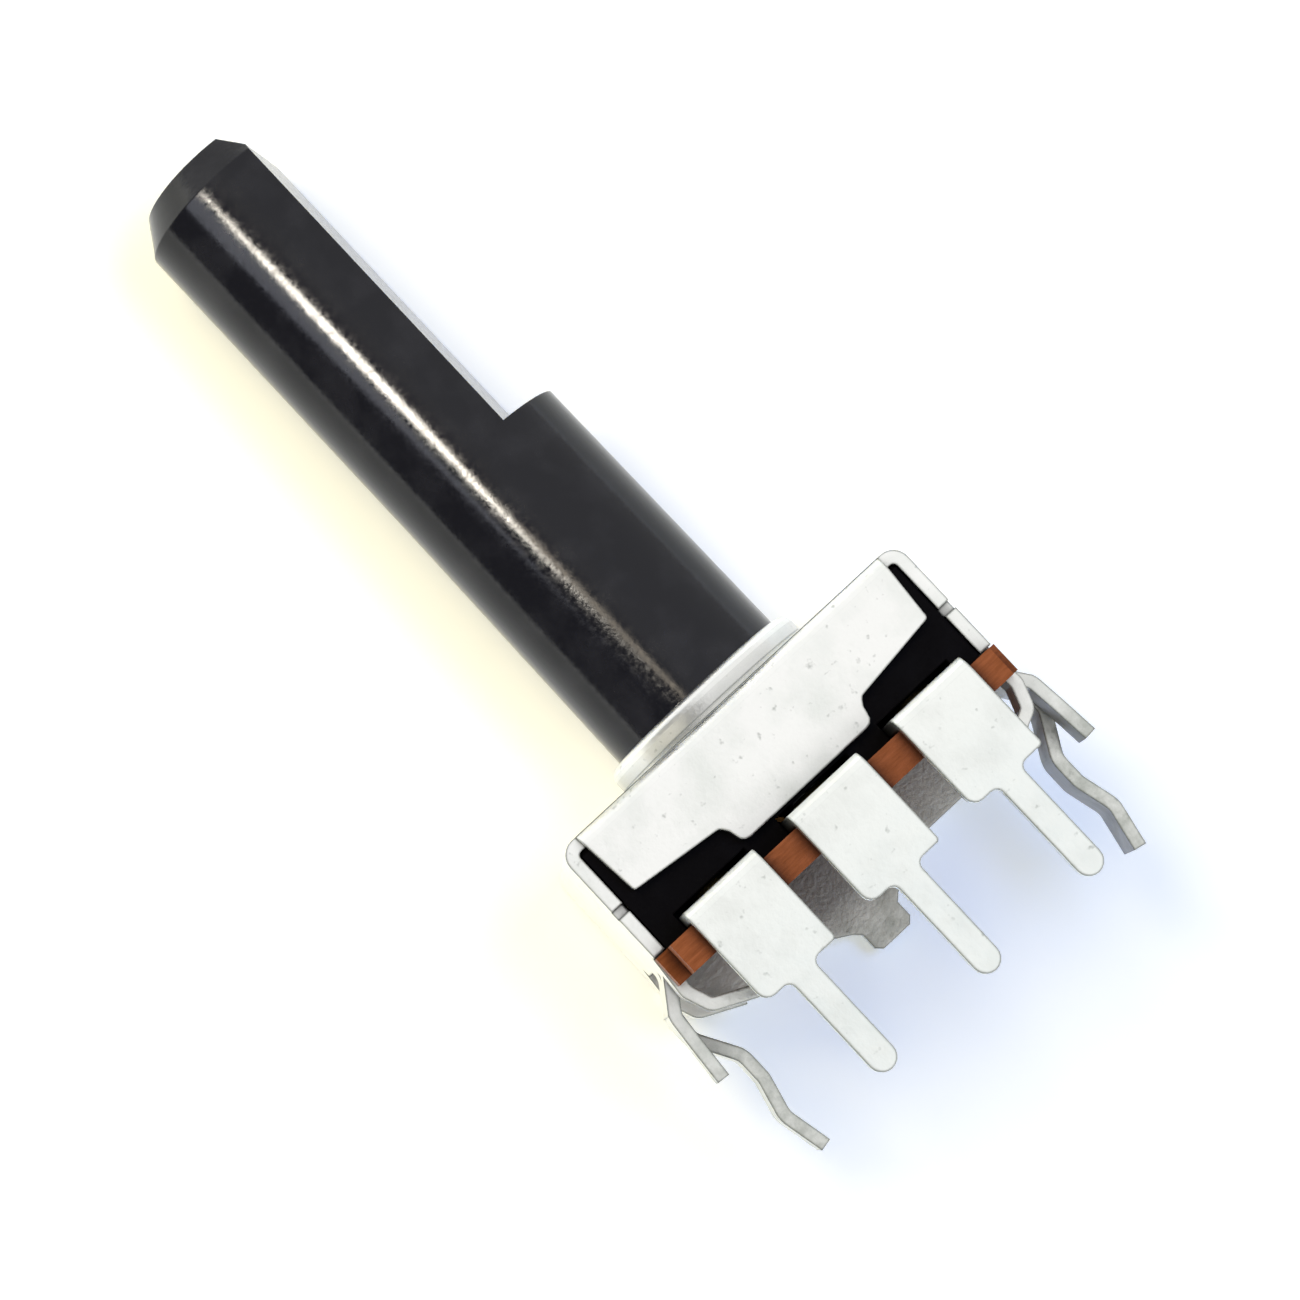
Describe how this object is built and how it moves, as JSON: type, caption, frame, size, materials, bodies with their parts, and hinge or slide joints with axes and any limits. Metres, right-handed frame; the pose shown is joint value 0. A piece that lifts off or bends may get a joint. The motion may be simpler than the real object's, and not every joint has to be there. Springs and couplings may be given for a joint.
{
  "type": "rotary potentiometer",
  "caption": "Board-mounted rotary potentiometer with a long D shaft, a folded steel cover with snap-in legs and flat bent-down terminals.",
  "frame": {"origin": "on the shaft's axis, in the plane of the cover's front face, at the foot of the collar", "axes": "+Z along the shaft towards its tip, X across the body along the row of terminals, and the terminals on the -Y side"},
  "size_m": [0.015, 0.0128, 0.0338],
  "materials": {
    "tinned_steel": "bright tin plate, dull at the cut edges",
    "black_moulding": "moulded, matt",
    "phenolic_board": "punched paper phenolic, matt",
    "carbon_print": "printed carbon, matt",
    "silver_print": "printed silver, satin",
    "tinned_brass": "tin plated brass strip, satin",
    "eyelet_brass": "rolled brass, satin",
    "black_shaft": "moulded, semi-gloss",
    "spring_bronze": "phosphor bronze, satin"
  },
  "bodies": {
    "housing": {"front_cover": "tinned_steel", "housing_ring": "black_moulding", "resistor_board": "phenolic_board", "carbon_track": "carbon_print", "left_electrode": "silver_print", "right_electrode": "silver_print", "collector_print": "silver_print", "left_terminal": "tinned_brass", "middle_terminal": "tinned_brass", "right_terminal": "tinned_brass", "left_eyelet": "eyelet_brass", "middle_eyelet": "eyelet_brass", "right_eyelet": "eyelet_brass"},
    "rotor": {"shaft": "black_shaft", "wiper_spring": "spring_bronze"}
  },
  "joints": [
    {"name": "shaft_turn", "type": "hinge", "parent": "housing", "child": "rotor", "pos_m": [0, 0, 0], "axis": [0, 0, 1], "range_deg": [-140, 160]}
  ]
}
